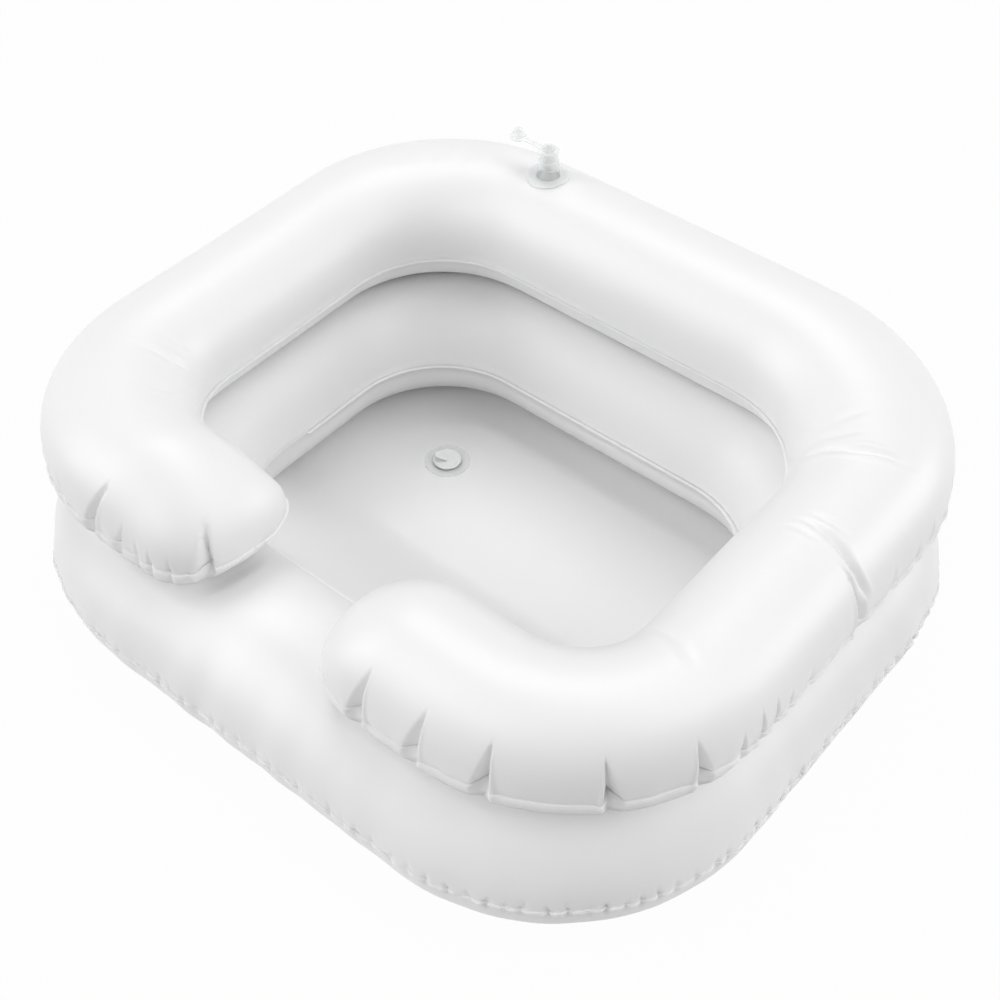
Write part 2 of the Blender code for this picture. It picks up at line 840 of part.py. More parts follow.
def stem_profile(mouth):
    """The ribbed, tapering stem: down its outer side, then up its bore."""
    root = mouth - STEM_HEIGHT - STEM_ROOT
    shoulder = mouth - STEM_HEIGHT + VALVE_FLANGE_THICKNESS + CLEARANCE
    collar = mouth - STRAP_THICKNESS - CLEARANCE
    profile = [(STEM_MOUTH_RADIUS, mouth), (STEM_MOUTH_RADIUS, collar)]
    low, high = RIB_SPAN_SHARES
    for rib in range(RIB_COUNT):
        share = high + (low - high) * rib / (RIB_COUNT - 1)
        z = shoulder + (mouth - shoulder) * share
        radius = STEM_MOUTH_RADIUS + (STEM_BASE_RADIUS - STEM_MOUTH_RADIUS) * (1 - share)
        profile += [
            (radius - RIB_HEIGHT / 2, z + RIB_WIDTH),
            (radius + RIB_HEIGHT / 2, z + RIB_WIDTH / 2),
            (radius + RIB_HEIGHT / 2, z - RIB_WIDTH / 2),
            (radius - RIB_HEIGHT / 2, z - RIB_WIDTH),
        ]
    return profile + [
        (STEM_BASE_RADIUS, shoulder),
        (STEM_BASE_RADIUS, root),
        (STEM_BORE_RADIUS, root),
        (STEM_BORE_RADIUS, mouth),
    ]


def build_check_flap(name, place, mouth, parts):
    """A thin disc under the stem's bore."""
    radius = STEM_BORE_RADIUS + FLAP_OVERLAP
    top = mouth - STEM_HEIGHT - STEM_ROOT - CLEARANCE
    profile = [(0, top), (radius, top), (radius, top - FLAP_THICKNESS), (0, top - FLAP_THICKNESS)]
    flap = add_turned(name, profile, CLEAR_PVC, parts)
    flap.matrix_world = place
    return flap


def build_strap(name, place, mouth, parts):
    """A collar round the stem's mouth with a tongue that ends at the fold."""
    outline = bpy.data.curves.new(name, "CURVE")
    outline.dimensions = "2D"
    outline.fill_mode = "BOTH"
    outline.extrude = STRAP_THICKNESS / 2
    outer = STEM_MOUTH_RADIUS + CLEARANCE + COLLAR_WALL
    half = STRAP_WIDTH / 2
    opening = math.asin(half / outer)
    rim = []
    for step in range(ROUND_STEPS + 1):
        angle = math.pi + opening + (math.tau - 2 * opening) * step / ROUND_STEPS
        rim.append((outer * math.cos(angle), outer * math.sin(angle)))
    fold = -(STRAP_REACH - CLEARANCE)
    rim += [(fold, half), (fold, -half)]
    inner = STEM_MOUTH_RADIUS + CLEARANCE
    hole = []
    for step in range(ROUND_STEPS):
        angle = math.tau * step / ROUND_STEPS
        hole.append((inner * math.cos(angle), inner * math.sin(angle)))
    for points in (rim, hole):
        spline = outline.splines.new("POLY")
        spline.points.add(len(points) - 1)
        for made, (x, y) in zip(spline.points, points):
            made.co = (x, y, 0, 1)
        spline.use_cyclic_u = True
    strap = add_object(name, outline, CLEAR_PVC, parts)
    strap.matrix_world = place @ Matrix.Translation((0, 0, mouth - STRAP_THICKNESS / 2))


def build_stopper(name, place, mouth, closed, parts, cutters):
    """The stopper with its half of the strap, beside the mouth plug-up, or folded over into it."""
    plug_radius = STEM_BORE_RADIUS - CLEARANCE
    head = STOPPER_HEAD_THICKNESS
    stopper = add_turned(
        name,
        [
            (0, STOPPER_LENGTH),
            (STOPPER_TIP_RADIUS / 2, STOPPER_LENGTH),
            (STOPPER_TIP_RADIUS, STOPPER_LENGTH - STOPPER_TIP_RADIUS / 3),
            (plug_radius, STOPPER_LENGTH / 4),
            (plug_radius, 0),
            (STOPPER_HEAD_RADIUS, 0),
            (STOPPER_HEAD_RADIUS, -head * MOUTH_RIM_SHARE),
            (STOPPER_HEAD_RADIUS * MOUTH_RIM_SHARE, -head),
            (0, -head),
        ],
        CLEAR_PVC,
        parts,
    )
    baked(stopper)
    tongue = add_box(
        f"{name}_tongue",
        (STOPPER_HEAD_RADIUS * MOUTH_RIM_SHARE, -STRAP_WIDTH / 2, -STRAP_THICKNESS),
        (STRAP_REACH - CLEARANCE, STRAP_WIDTH / 2, 0),
        CLEAR_PVC,
        cutters,
    )
    as_cutter(tongue)
    add_boolean(stopper, tongue, "UNION")
    fold = Vector((-STRAP_REACH, 0, mouth + CLEARANCE / 2))
    beside = Matrix.Translation((-2 * STRAP_REACH, 0, mouth))
    if closed:
        over = Matrix.Translation(fold) @ Matrix.Rotation(math.pi, 4, "Y") @ Matrix.Translation(-fold)
        beside = over @ beside
    stopper.matrix_world = place @ beside
    tongue.matrix_world = place @ beside


def cut_stem_hole(sheet, name, tube, place, cutters):
    """Opens the ring's top sheet under a valve, so that the stem can be pushed in."""
    radius = STEM_BASE_RADIUS + CLEARANCE
    low = skin_height(tube, place, radius) - OVERRUN
    profile = [(0, OVERRUN), (radius, OVERRUN), (radius, low), (0, low)]
    cutter = add_turned(name, profile, CLEAR_PVC, cutters)
    cutter.matrix_world = place
    add_boolean(sheet, as_cutter(baked(cutter)), "DIFFERENCE")


def stem_travel():
    """How far a stem is pushed in: until its strap lands on the flange."""
    return STEM_HEIGHT - VALVE_FLANGE_THICKNESS - CLEARANCE - STRAP_THICKNESS


def build_valve(prefix, sheet, tube, angle, pushed, closed, flip, parts, cutters):
    place = valve_place(tube, angle, VALVE_X, flip)
    mouth = CLEARANCE + STEM_HEIGHT
    if pushed:
        mouth -= stem_travel()
    cut_stem_hole(sheet, f"{prefix}_valve_hole", tube, place, cutters)
    build_valve_flange(f"{prefix}_valve_flange", tube, place, parts)
    stem = add_turned(f"{prefix}_valve_stem", stem_profile(mouth), CLEAR_PVC, parts)
    stem.matrix_world = place
    build_check_flap(f"{prefix}_valve_check_flap", place, mouth, parts)
    build_strap(f"{prefix}_valve_strap", place, mouth, parts)
    build_stopper(f"{prefix}_valve_stopper", place, mouth, closed, parts, cutters)


def main():
    clear_scene()
    parts = new_collection("hair_washing_basin")
    cutters = new_collection("cutters")
    upper_sheet = build_upper_ring(parts)
    lower_sheet = build_lower_ring(parts)
    build_floor(parts)
    build_drain(parts)
    build_valve("upper", upper_sheet, UPPER, math.pi / 2, False, False, False, parts, cutters)
    build_valve(
        "lower", lower_sheet, LOWER, LOWER_VALVE_ANGLE, True, True, True, parts, cutters
    )


main()
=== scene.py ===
# %% [markdown]
# # An inflatable hair-washing basin
# The basin is welded from thin white PVC sheet. A closed lower ring and an open upper ring hold
# air, a floor sheet closes the bowl, and clear PVC parts let air in and water out. The solids of
# the CAD model fix where everything is. This lesson gives those places the skin of a real blown-up
# sheet: welded seams, pleats where the seams bend, folds over the bends, and a soft plastic sheen.

# %% Load the frame
import math

import bpy
import numpy as np
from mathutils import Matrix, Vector


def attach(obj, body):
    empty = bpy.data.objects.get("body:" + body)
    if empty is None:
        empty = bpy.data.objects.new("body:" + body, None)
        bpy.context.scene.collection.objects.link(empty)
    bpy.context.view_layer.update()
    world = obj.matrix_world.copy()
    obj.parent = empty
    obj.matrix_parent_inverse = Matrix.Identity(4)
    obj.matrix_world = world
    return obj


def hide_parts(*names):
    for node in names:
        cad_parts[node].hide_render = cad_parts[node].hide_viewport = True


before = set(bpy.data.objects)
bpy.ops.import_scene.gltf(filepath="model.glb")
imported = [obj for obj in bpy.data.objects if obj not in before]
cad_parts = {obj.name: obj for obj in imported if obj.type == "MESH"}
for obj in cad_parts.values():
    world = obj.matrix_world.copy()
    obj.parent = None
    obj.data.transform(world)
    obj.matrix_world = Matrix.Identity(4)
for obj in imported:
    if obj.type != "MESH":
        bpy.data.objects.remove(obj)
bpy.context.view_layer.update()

# %% [markdown]
# ## The camera
# A photograph of this kind is taken from above, a long step away, so that the bowl shows. The
# place and the lens were worked out once from the basin's own outlines and are given here as plain
# sizes.

# %% Camera
CAMERA_PLACE = Vector((0.5275, -0.6261, 0.9475))
CAMERA_AIM = Vector((0.02453, -0.02176, 0.1200))

camera_data = bpy.data.cameras.new("camera")
camera_data.lens = 56.93
camera_data.sensor_width = 36.0
camera = bpy.data.objects.new("camera", camera_data)
bpy.context.scene.collection.objects.link(camera)
camera.location = CAMERA_PLACE
camera.rotation_euler = (CAMERA_AIM - CAMERA_PLACE).to_track_quat("-Z", "Y").to_euler()
bpy.context.scene.camera = camera
print("camera at", tuple(round(c, 3) for c in CAMERA_PLACE))

# %% [markdown]
# ## Helpers for sheets
# Every sheet here starts as Blender's grid primitive, which is what the real one starts as: a flat
# piece of film. Code then carries each vertex of the grid to its place on the blown-up shape. The
# grid keeps its UV map, so that u runs along the ring and v runs across the sheet.


# %% A flat sheet, laid into shape
def lay_sheet(name, points, flip):
    """A grid whose vertices are carried to points[i, j]: i along the sheet, j across it."""
    along, across = points.shape[:2]
    bpy.ops.mesh.primitive_grid_add(x_subdivisions=along - 1, y_subdivisions=across - 1, size=1)
    sheet = bpy.context.object
    sheet.name = name
    flat = np.empty(len(sheet.data.vertices) * 3, np.float32)
    sheet.data.vertices.foreach_get("co", flat)
    flat = flat.reshape(-1, 3)
    i = np.rint((flat[:, 0] + 0.5) * (along - 1)).astype(int)
    j = np.rint((flat[:, 1] + 0.5) * (across - 1)).astype(int)
    sheet.data.vertices.foreach_set("co", points[i, j].astype(np.float32).ravel())
    sheet.data.update()
    bpy.ops.object.mode_set(mode="EDIT")
    bpy.ops.mesh.select_all(action="SELECT")
    bpy.ops.mesh.remove_doubles(threshold=0.00001)
    if flip:
        bpy.ops.mesh.flip_normals()
    bpy.ops.object.mode_set(mode="OBJECT")
    bpy.ops.object.shade_smooth()
    return sheet


def apply_all(piece):
    """Applies a piece's modifiers from the first to the last."""
    bpy.ops.object.select_all(action="DESELECT")
    piece.select_set(True)
    bpy.context.view_layer.objects.active = piece
    for modifier in list(piece.modifiers):
        bpy.ops.object.modifier_apply(modifier=modifier.name)


def thicken(piece, thickness):
    """Gives an open sheet its thickness, on its inner side."""
    solid = piece.modifiers.new("thickness", "SOLIDIFY")
    solid.thickness = thickness
    solid.offset = -1
    solid.use_even_offset = False
    apply_all(piece)


def bore(sheet, place, axis, radius):
    """Cuts a round hole through a sheet, along this axis."""
    bpy.ops.mesh.primitive_cylinder_add(
        vertices=48, radius=radius, depth=0.016, location=place,
        rotation=Vector(axis).to_track_quat("Z", "Y").to_euler(),
    )
    cutter = bpy.context.object
    cut = sheet.modifiers.new("hole", "BOOLEAN")
    cut.operation, cut.solver, cut.object = "DIFFERENCE", "EXACT", cutter
    apply_all(sheet)
    bpy.data.objects.remove(cutter)


# %% [markdown]
# ## The plan of a ring
# Seen from above, a ring's outer and inner outlines are rectangles with rounded corners. A number
# called turn runs from 0 to 9 round each of them, clockwise from the middle of the front: odd
# whole numbers start a corner and even ones a straight side. The lower ring fills evenly, and in
# the upper ring each corner takes its own bend.

# %% Sizes
SHEET = 0.0004
CLEARANCE = 0.0003
SEAM_LIFT = CLEARANCE / 2 + SHEET
# An outline is its sides (left, right, front, back) and its corners (front left, back left, back
# right, front right).
LOWER_OUTER = (-0.303, 0.303, -0.265, 0.265), (0.167, 0.167, 0.167, 0.167)
LOWER_INNER = (-0.180, 0.180, -0.131, 0.131), (0.085, 0.085, 0.085, 0.085)
LOWER_HALF_HEIGHT = 0.062
LOWER_Z = 0.0605
# The lower ring's front and back tubes: how far their middle lies from the basin's, and half a
# width
LOWER_MIDDLE_Y, LOWER_HALF_WIDTH = 0.198, 0.067
LOWER_TOP_Z = LOWER_Z + LOWER_HALF_HEIGHT
UPPER_OUTER = (-0.298, 0.293, -0.241, 0.262), (0.138, 0.153, 0.161, 0.157)
UPPER_INNER = (-0.198, 0.194, -0.137, 0.152), (0.062, 0.086, 0.090, 0.046)
UPPER_HEIGHTS = 0.097, 0.096, 0.099, 0.106
SEAM_DROP = math.radians(12)
# Over these runs the corners of each ring's plan go softly into its sides.
UPPER_SOFTENING, LOWER_SOFTENING = 0.012, 0.010
# How deep the two rings press into each other, and the run over which that starts at an arm's end
PRESS = 0.0135
PRESS_RUN = 0.020
CONTACT_Z = LOWER_TOP_Z - PRESS / 2
UPPER_BOTTOM_Z = LOWER_TOP_Z - PRESS


# %% Outlines
def outline(sides, corners, turn):
    """Points on a rounded rectangle at these turns."""
    left, right, front, back = sides
    fl, bl, br, fr = corners
    leg = np.clip(turn.astype(int), 0, 8)
    share = (turn - leg)[:, None]
    keys = np.array([
        (0, front), (left + fl, front), (left, front + fl), (left, back - bl),
        (left + bl, back), (right - br, back), (right, back - br), (right, front + fr),
        (right - fr, front), (0, front),
    ])
    middles = np.array([
        (left + fl, front + fl), (left + bl, back - bl),
        (right - br, back - br), (right - fr, front + fr),
    ])
    corner = np.clip((leg - 1) // 2, 0, 3)
    angle = math.pi / 4 * (7 - leg)[:, None] - math.pi / 2 * share
    radius = np.array(corners)[corner][:, None]
    bend = middles[corner] + radius * np.hstack([np.cos(angle), np.sin(angle)])
    return np.where((leg % 2 == 0)[:, None], keys[leg] * (1 - share) + keys[leg + 1] * share, bend)


def runs(line):
    """The distance along a line of points, from its first point."""
    return np.concatenate([[0], np.cumsum(np.linalg.norm(np.diff(line, axis=0), axis=1))])


def soften(values, step, spread):
    """Values round a closed line, each averaged with its neighbours over about this distance."""
    reach = int(3 * spread / step) + 1
    weights = np.exp(-0.5 * (np.arange(-reach, reach + 1) * step / spread) ** 2)
    weights /= weights.sum()
    return sum(w * np.roll(values, k, 0) for k, w in zip(range(-reach, reach + 1), weights))


def ring_plan(outer, inner, spread, count):
    """Outer and inner points of a closed ring, evenly spaced along the outer side."""
    turn = np.linspace(0, 9, 9001)
    run = runs(outline(*outer, turn))
    turn = np.interp(np.arange(count) * run[-1] / count, run, turn)
    step = run[-1] / count
    return [soften(outline(*each, turn), step, spread) for each in (outer, inner)]


def ease(share):
    """A smooth step from 0 to 1."""
    share = np.clip(share, 0, 1)
    return share * share * (3 - 2 * share)


def below(height, limit, soft):
    """The height, bent smoothly so that it stays below the limit."""
    return limit - soft * np.logaddexp(0, (limit - height) / soft)


# %% [markdown]
# ## Sections of a ring
# At each place along the ring the tube has an oval section. The angle starts at the outer side,
# runs over the top and ends at the inner side. The upper ring's seam lies a little below the
# tube's middle, so its angle starts below zero.


# %% The ring's sections
class Ring:
    """The sections of a ring: centre and outward direction in plan, half width and half height."""

    def __init__(self, outer, inner, half_height, centre_z, drop):
        across = outer - inner
        self.centre = (outer + inner) / 2
        self.half_width = np.linalg.norm(across, axis=1) / 2
        self.out = across / (2 * self.half_width[:, None])
        self.half_height = np.broadcast_to(half_height, len(outer)).copy()
        self.centre_z = np.broadcast_to(centre_z, len(outer)).copy()
        self.drop = drop

    def at(self, angle):
        """Points on the skin, and the directions square to it, for these angles at each section."""
        angle = np.broadcast_to(angle, (len(self.centre), np.shape(angle)[-1]))
        wide, high = self.half_width[:, None], np.maximum(self.half_height, 1e-5)[:, None]
        point = np.empty(angle.shape + (3,))
        reach = (wide * np.cos(angle))[..., None]
        point[..., :2] = self.centre[:, None] + self.out[:, None] * reach
        point[..., 2] = self.centre_z[:, None] + high * np.sin(angle)
        slope = np.stack([np.cos(angle) / wide, np.sin(angle) / high], axis=-1)
        slope /= np.linalg.norm(slope, axis=-1, keepdims=True)
        square = np.concatenate([self.out[:, None] * slope[..., :1], slope[..., 1:]], axis=-1)
        return point, square

    def seam(self, side):
        """The line of the seam at the outer (1) or inner (-1) side."""
        reach = self.half_width * math.cos(self.drop) * side
        z = self.centre_z - self.half_height * math.sin(self.drop)
        return np.hstack([self.centre + self.out * reach[:, None], z[:, None]])


# %% [markdown]
# ## Where the upper ring needs a fine mesh
# A flat sheet that is welded along a curve has too much length at its outer edge. When air swells
# the tube, the edge gathers into pleats: sharp valleys that start at the seam and close a few
# centimetres up the wall. Over the bends the top gets short folds. Each one is listed with its
# place, and the mesh is finer round each of them.

# %% Pleats of the upper ring's outer seam, in millimetres
PLEATS = (
    # x, y of the foot; depth; width to the left and to the right, seen from outside; run up; run
    # down; lean to the left
    (-69, -221, 13.0, 4.5, 8.5, 38, 14, -0.20),
    (-84, -235, 2.4, 3.5, 3.5, 16, 7, 0.0),
    (-98, -240, 2.6, 3.5, 3.5, 17, 7, 0.0),
    (-110, -240, 3.0, 4.0, 3.5, 18, 8, 0.0),
    (-129, -240, 4.5, 6.0, 4.0, 24, 10, -0.30),
    (-157, -240, 11.0, 9.0, 4.5, 44, 14, -0.33),
    (-194, -235, 1.8, 6.0, 6.0, 22, 8, 0.0),
    (-222, -207, 2.0, 7.0, 7.0, 26, 8, 0.0),
    (-262, -160, 2.4, 8.0, 8.0, 30, 8, 0.0),
    (-284, -110, 2.2, 7.0, 7.0, 26, 8, 0.0),
    (46, -224, 6.0, 7.0, 3.0, 24, 8, 0.0),
    (93, -240, 11.0, 10.0, 4.5, 41, 14, -0.12),
    (138, -240, 11.0, 9.5, 4.5, 40, 15, -0.13),
    (186, -231, 12.0, 9.0, 4.5, 39, 15, -0.08),
    (248, -191, 11.0, 3.5, 10.0, 37, 14, 0.07),
    (281, -141, 10.0, 4.5, 8.5, 33, 12, 0.09),
    (289, -111, 3.2, 4.0, 4.0, 20, 7, 0.0),
    (291, -94, 5.0, 4.0, 5.0, 26, 9, 0.0),
    (292, -79, 4.5, 4.0, 4.5, 24, 8, 0.0),
    (292, -64, 2.8, 4.0, 4.0, 19, 7, 0.0),
    (292, -39, 1.8, 4.0, 4.0, 18, 7, 0.0),
    (292, 15, 9.0, 3.5, 14.0, 50, 12, -0.02),
    (291, 60, 1.6, 7.0, 7.0, 24, 8, 0.0),
    (292, 93, 1.6, 5.0, 5.0, 20, 8, 0.0),
    (291, 113, 2.2, 5.0, 6.0, 24, 8, 0.0),
    (282, 154, 2.4, 4.0, 6.0, 26, 8, 0.0),
    (262, 170, 1.8, 8.0, 8.0, 26, 8, 0.0),
    (215, 222, 2.0, 9.0, 9.0, 26, 8, 0.0),
    (-190, 238, 2.2, 9.0, 9.0, 30, 8, 0.0),
    (-255, 178, 2.2, 9.0, 9.0, 30, 8, 0.0),
    (-292, 19, 3.0, 8.0, 8.0, 30, 8, 0.0),
    (-292, -29, 2.6, 7.0, 7.0, 26, 8, 0.0),
)


# %% Folds over the top, in millimetres: a line of points in plan, its depth and its half width
FOLDS = (
    (((-218, -128), (-210, -124), (-202, -120), (-196, -112)), 2.2, 4.0),
    (((-219, -107), (-212, -104), (-207, -98)), 1.2, 4.0),
    (((-185, -157), (-181, -149), (-177, -141), (-176, -128)), 1.6, 4.0),
    (((201, 94), (213, 98), (228, 101), (239, 107), (249, 111), (265, 118)), 2.8, 4.0),
    (((201, 109), (210, 111), (218, 115)), 1.4, 4.0),
    (((198, 120), (206, 127), (211, 134)), 1.2, 4.5),
    (((238, 28), (254, 26), (266, 25), (277, 23), (287, 23), (291, 26)), 3.4, 4.0),
    (((238, 35), (249, 36), (263, 37)), 1.6, 3.6),
    (((232, 18), (242, 19), (255, 18)), 1.2, 3.6),
    (((212, -97), (230, -104), (247, -113)), 1.2, 5.5),
    (((-232, 146), (-222, 160)), 1.0, 6.0),
    (((-210, 168), (-202, 182)), 1.1, 6.0),
    (((-190, 180), (-184, 196)), 1.0, 6.0),
)


# %% Stations along a ring
MOST_DENSE = 7
# The reach and the weight of a mark: at a pleat, whose depth is its weight up to this; at a point
# of a fold; and at an arm's end
PLEAT_MARK, FOLD_MARK, END_MARK = (0.012, 5), (0.014, 0.8), (0.045, 1.2)


def stations(line, marks, count):
    """Places along a line, closer together near the marks: each a place, a reach and a weight."""
    run = runs(line)
    density = np.ones(len(line))
    for place, reach, weight in marks:
        foot = run[np.argmin(np.hypot(line[:, 0] - place[0], line[:, 1] - place[1]))]
        apart = np.abs(run - foot)
        density += weight * np.exp(-((np.minimum(apart, run[-1] - apart) / reach) ** 4))
    density = np.minimum(density, MOST_DENSE)
    total = np.concatenate([[0], np.cumsum((density[1:] + density[:-1]) / 2 * np.diff(run))])
    return np.interp(np.linspace(0, total[-1], count), total, np.arange(len(line)))


def pick(values, index):
    """Values at fractional places of an array."""
    low = np.clip(index.astype(int), 0, len(values) - 2)
    share = (index - low)[:, None]
    return values[low] * (1 - share) + values[low + 1] * share


# %% [markdown]
# ## The upper ring's arm ends
# The open ring ends in two arms. Each is flat at its end seam and swells to the full tube over 60
# to 80 mm. Nothing forces the two ends to match: the left one is drawn in far round its outer
# corner, and the right one round its inner corner.

# %% Arm ends
# The end's place; each corner's run along the arm and depth across it; the run over which the end
# swells, and how blunt it is.
LEFT_ARM = 0.058, (0.042, 0.058), (0.021, 0.038), 0.079, 1.6
RIGHT_ARM = 0.039, (0.044, 0.038), (0.053, 0.058), 0.062, 2.1
# The last stretch of an arm, which has rows of its own
TIP_RUN, TIP_ROWS, TIP_CROWDING = 0.0125, 30, 1.2
# Up to this x a section's two points share their x, and over this run they come apart.
SHARED_X, SHARING_RUN = 0.08, 0.05
# Outer points in front of the first y may lie in the neck gap, and sections whose middle is in
# front of the second belong to the arms.
GAP_Y, FRONT_Y = -0.20, -0.15


def draw_in(corner, past):
    """How far a corner of an arm's end is drawn in, this far past the end."""
    run, depth = corner
    return depth * (1 - np.sqrt(1 - np.clip(1 - past / run, 0, 1) ** 2))


def close_arm(ring, past, arm):
    """Narrows and flattens the sections that lie within an arm's end."""
    _, outer_corner, inner_corner, swell_run, blunt = arm
    outer, inner = draw_in(outer_corner, past), draw_in(inner_corner, past)
    ring.centre = ring.centre - ring.out * ((outer - inner) / 2)[:, None]
    ring.half_width = ring.half_width - (outer + inner) / 2
    seam_z = ring.centre_z - ring.half_height * math.sin(SEAM_DROP)
    ring.half_height = ring.half_height * np.sqrt(1 - np.clip(1 - past / swell_run, 0, 1) ** blunt)
    ring.centre_z = seam_z + ring.half_height * math.sin(SEAM_DROP)


def upper_ring(count):
    """The open ring, from the left arm's end round the back to the right arm's end."""
    outer, inner = ring_plan(UPPER_OUTER, UPPER_INNER, UPPER_SOFTENING, count=2400)
    # Near the neck both points of a section share their x, so that the arms end square.
    x = outer[:, 0]
    near = (outer[:, 1] < 0) & (np.abs(x) < SHARED_X + SHARING_RUN)
    share = ease((np.abs(x[near]) - SHARED_X) / SHARING_RUN)
    inner[near, 0] += (x[near] - inner[near, 0]) * (1 - share)
    in_gap = (x > -LEFT_ARM[0] - TIP_RUN) & (x < RIGHT_ARM[0] + TIP_RUN) & (outer[:, 1] < GAP_Y)
    outer, inner = outer[~in_gap], inner[~in_gap]
    reach, most = PLEAT_MARK
    marks = [((x / 1000, y / 1000), reach, min(depth, most)) for x, y, depth, *_ in PLEATS]
    marks += [((x / 1000, y / 1000), *FOLD_MARK) for line, _, _ in FOLDS for x, y in line]
    marks += [(outer[0], *END_MARK), (outer[-1], *END_MARK)]
    index = stations(outer, marks, count - 2 * TIP_ROWS)
    outer, inner = pick(outer, index), pick(inner, index)
    turn = np.linspace(0, math.pi / 2, TIP_ROWS, endpoint=False)
    past = TIP_RUN * (1 - np.cos(turn)) ** TIP_CROWDING
    whole = []
    for line in (outer, inner):
        left = np.column_stack([-LEFT_ARM[0] - past, np.full(TIP_ROWS, line[0, 1])])
        right = np.column_stack([RIGHT_ARM[0] + past, np.full(TIP_ROWS, line[-1, 1])])
        whole.append(np.vstack([left, line, right[::-1]]))
    outer, inner = whole
    out = (outer - inner) / np.linalg.norm(outer - inner, axis=1, keepdims=True)
    weights = np.stack([-out[:, 0], out[:, 0], -out[:, 1], out[:, 1]], axis=1).clip(0) ** 2
    half_height = weights @ np.array(UPPER_HEIGHTS) / 2
    ring = Ring(outer, inner, half_height, UPPER_BOTTOM_Z + half_height, SEAM_DROP)
    x = ring.centre[:, 0]
    in_front = ring.centre[:, 1] < FRONT_Y
    far = 1.0
    for side, arm in ((-1, LEFT_ARM), (1, RIGHT_ARM)):
        close_arm(ring, np.where(in_front & (x * side > 0), x * side - arm[0], far), arm)
    return ring


# %% [markdown]
# ## Pleats and folds
# A pleat is a valley in an upright plane that stands square to the seam. Its depth and width fade
# from the seam up the wall, and its lips stand a little proud. The same valley is pressed into the
# sheet above the seam and, shorter, into the one below, because the weld joins them.


# %% Gathering a seam
# A valley's width at its top, as a share of its full width, and how round its bottom is
CREASE_SHARE, ROUNDING = 0.05, 0.16
# The low ridge beside a valley's steep side: its height as a share of the depth, then its place
# and its width as shares of the steep side's width
RIDGE = 0.12, 1.3, 0.5
PLEAT_REACH = 0.06


def inward(seam):
    """Level directions square to a seam, to the right of its run."""
    tangent = np.gradient(seam[:, :2], axis=0)
    tangent /= np.linalg.norm(tangent, axis=1, keepdims=True)
    return np.stack([tangent[:, 1], -tangent[:, 0]], axis=1)


def gather(point, seam, pleats, way):
    """How far the pleats press a sheet in: way is 1 above the seam and -1 below it."""
    push = np.zeros(point.shape[:2])
    square = inward(seam)
    height, place, spread = RIDGE
    for x, y, depth, left, right, up, down, lean in pleats:
        foot = np.argmin(np.hypot(seam[:, 0] * 1000 - x, seam[:, 1] * 1000 - y))
        reach = np.hypot(*(seam[:, :2] - seam[foot, :2]).T)
        rows = np.where(reach < PLEAT_REACH)[0]
        rows = slice(rows.min(), rows.max() + 1)
        apart = (point[rows] - seam[foot]) * 1000
        off = np.hypot(apart[..., :2] @ square[foot], apart[..., 2])
        along = np.array([-square[foot, 1], square[foot, 0]])
        aside = apart[..., :2] @ along - lean * off
        share = np.clip(1 - off / (up if way > 0 else down), 0, 1)
        aside /= CREASE_SHARE + (1 - CREASE_SHARE) * share**0.8
        valley = np.where(aside > 0, 1 - aside / left, 1 + aside / right)
        rounding = ROUNDING / (1 + depth / 3)
        valley = rounding * np.logaddexp(0, valley / rounding)
        lip, steep = (aside, left) if left < right else (-aside, right)
        ridge = height * np.exp(-(((lip - place * steep) / (spread * steep)) ** 2))
        push[rows] += depth / 1000 * share**0.7 * (valley - ridge)
    return push


FOLD_SAMPLES, FOLD_MARGIN, FOLD_LOWEST_Z = 70, 0.03, 0.160
# The low lips beside a fold: their height as a share of its depth, then their place and width as
# shares of its half width
FOLD_LIPS = 0.38, 1.3, 0.6


def press_folds(point):
    """How far the folds press the top sheet in."""
    push = np.zeros(point.shape[:2])
    fine = np.linspace(0, 1, FOLD_SAMPLES)
    height, place, spread = FOLD_LIPS
    for line, depth, width in FOLDS:
        line = np.array(line, float) / 1000
        share = np.linspace(0, 1, len(line))
        way = np.stack([np.interp(fine, share, line[:, 0]), np.interp(fine, share, line[:, 1])], 1)
        low, high = way.min(0) - FOLD_MARGIN, way.max(0) + FOLD_MARGIN
        near = (point[..., :2] > low).all(-1) & (point[..., :2] < high).all(-1)
        near &= point[..., 2] > FOLD_LOWEST_Z
        there = point[near]
        reach = np.hypot(*(way[:, None] - there[None, :, :2]).transpose(2, 0, 1))
        path = there[np.argmin(reach, axis=1)]
        apart = np.linalg.norm(path[:, None] - there[None], axis=2)
        closest = np.argmin(apart, axis=0)
        across = apart[closest, np.arange(len(there))] / (width / 1000)
        taper = np.sin(math.pi * np.clip(fine[closest] * 0.92 + 0.04, 0, 1)) ** 0.7
        lips = height * np.exp(-(((across - place) / spread) ** 2))
        push[near] += depth / 1000 * taper * (np.exp(-((across / 0.55) ** 1.4)) - lips)
    return push


# How many waves make a ripple, their lengths as shares of its pitch, and what evens out their sum
RIPPLE_WAVES, RIPPLE_LENGTHS, RIPPLE_EVENING = 14, (0.6, 1.9), 3.5


def ripple(run, seed, pitch):
    """A smooth uneven wave along a seam, between about -1 and 1."""
    chance = np.random.default_rng(seed)
    total = 0
    for _ in range(RIPPLE_WAVES):
        length = pitch * chance.uniform(*RIPPLE_LENGTHS)
        total = total + np.sin(run * math.tau / length + chance.uniform(0, math.tau))
    return total / RIPPLE_EVENING


def unevenness(run, off, height, reach, seed, pitch):
    """A slight ripple along a seam, which fades over this reach up the wall."""
    return height * ripple(run, seed, pitch)[:, None] * np.exp(-off / reach)


# %% [markdown]
# ## The weld
# Beside each seam the two sheets are fused into a flat edge. It leaves the tube level, as a thin
# bright line, and then hangs down. Its free edge was cut straight, so it bridges the pleats.


